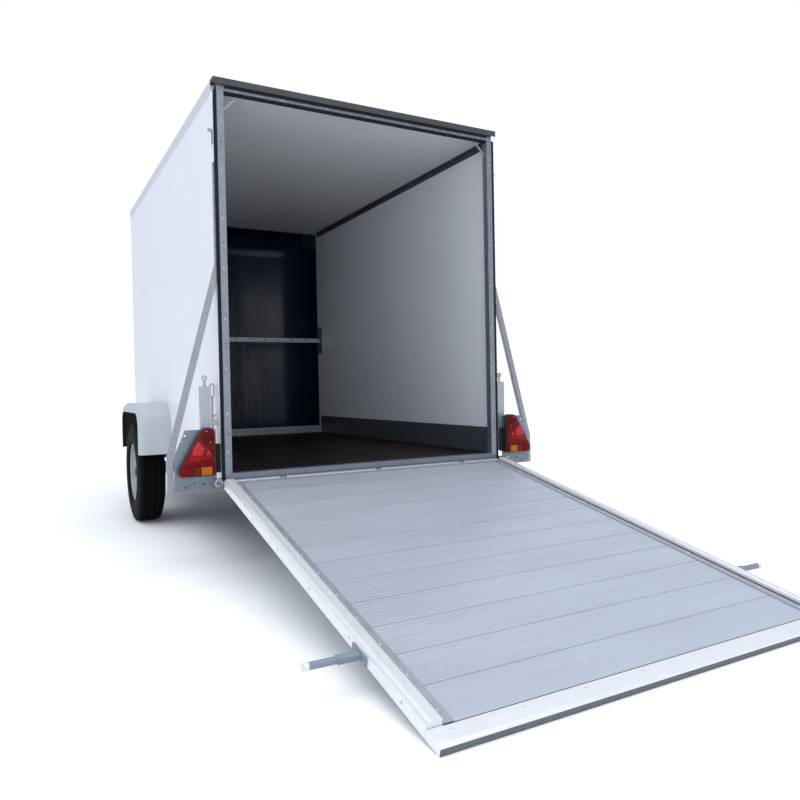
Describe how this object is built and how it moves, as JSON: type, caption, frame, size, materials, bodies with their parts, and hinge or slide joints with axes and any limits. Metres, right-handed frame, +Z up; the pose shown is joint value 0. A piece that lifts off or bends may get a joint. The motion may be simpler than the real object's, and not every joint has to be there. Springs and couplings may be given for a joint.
{
  "type": "enclosed cargo trailer",
  "caption": "Single-axle enclosed cargo trailer with a moulded nose, a full-width rear ramp open to the ground, ball coupling and jockey wheel.",
  "frame": {"origin": "on the ground under the middle of the whole vehicle, from the ramp's far edge to the coupling", "axes": "+X forwards to the coupling, +Y to the left side, +Z up"},
  "size_m": [6.0834, 2.104, 2.315],
  "materials": {
    "white_panel": "smooth white film on plywood panel",
    "trim_grey": "satin extrusion",
    "trim_dark": "satin dark grey coating",
    "navy_moulding": "polished moulded glass fibre",
    "phenolic_plywood": "film-faced",
    "galvanised": "hot-dip galvanised",
    "black_rubber": "matt",
    "cast_housing": "painted casting",
    "black_plastic": "moulded",
    "grey_plastic": "silver-grey, slight sheen",
    "red_lens": "clear ribbed lens in a black housing",
    "ribbed_aluminium": "fine-ribbed mill finish planks",
    "tyre_rubber": "matt",
    "silver_wheel": "silver paint"
  },
  "bodies": {
    "trailer": {"side_wall_left": "white_panel", "side_wall_right": "white_panel", "roof_panel": "white_panel", "roof_edge_trims": "trim_grey", "roof_rear_trim": "trim_dark", "floor_board": "phenolic_plywood", "nose_shell": "navy_moulding", "kick_plates": "galvanised", "ceiling_angles": "galvanised", "front_crossbar": "galvanised", "front_floor_rail": "galvanised", "rear_portal": "galvanised", "rear_seals": "black_rubber", "corner_stays": "galvanised", "rear_sill": "galvanised", "chassis_rails": "galvanised", "crossmembers": "galvanised", "drawbar_beams": "galvanised", "drawbar_head_plate": "galvanised", "overrun_housing": "cast_housing", "shaft_gaiter": "black_rubber", "coupling_head": "cast_housing", "coupling_lever": "black_plastic", "hand_brake_lever": "galvanised", "brake_rod": "galvanised", "axle_tube": "galvanised", "suspension_arms": "galvanised", "brake_backplates": "galvanised", "mudguards": "grey_plastic", "jockey_outer_tube": "galvanised", "jockey_clamp": "galvanised", "jockey_crank": "galvanised", "hinge_pin": "galvanised", "hinge_lugs": "galvanised", "lamp_brackets": "galvanised", "tail_lamps": "red_lens", "side_braces": "galvanised", "spring_assists": "galvanised", "closing_hooks": "galvanised"},
    "ramp": {"ramp_deck": "ribbed_aluminium", "ramp_rails": "ribbed_aluminium", "ramp_end_strip": "ribbed_aluminium", "ramp_knuckles": "ribbed_aluminium", "ramp_latches": "black_plastic"},
    "wheel_left": {"tyre_left": "tyre_rubber", "wheel_rim_left": "silver_wheel", "brake_drum_left": "cast_housing"},
    "wheel_right": {"tyre_right": "tyre_rubber", "wheel_rim_right": "silver_wheel", "brake_drum_right": "cast_housing"},
    "jockey_swivel": {"jockey_fork": "galvanised"},
    "jockey_wheel": {"jockey_rim": "silver_wheel", "jockey_tyre": "tyre_rubber"}
  },
  "joints": [
    {"name": "ramp_hinge", "type": "hinge", "parent": "trailer", "child": "ramp", "pos_m": [-1.15227, 0, 0.42], "axis": [0, 1, 0], "range_deg": [0, 102]},
    {"name": "wheel_spin_left", "type": "hinge", "parent": "trailer", "child": "wheel_left", "pos_m": [0.53173, 0.903, 0.325], "axis": [0, 1, 0], "continuous": true},
    {"name": "wheel_spin_right", "type": "hinge", "parent": "trailer", "child": "wheel_right", "pos_m": [0.53173, -0.903, 0.325], "axis": [0, 1, 0], "continuous": true},
    {"name": "jockey_swivel_turn", "type": "hinge", "parent": "trailer", "child": "jockey_swivel", "pos_m": [2.56173, -0.176, 0.3], "axis": [0, 0, 1], "continuous": true},
    {"name": "jockey_wheel_spin", "type": "hinge", "parent": "jockey_swivel", "child": "jockey_wheel", "pos_m": [2.49973, -0.176, 0.105], "axis": [0, 1, 0], "continuous": true}
  ]
}
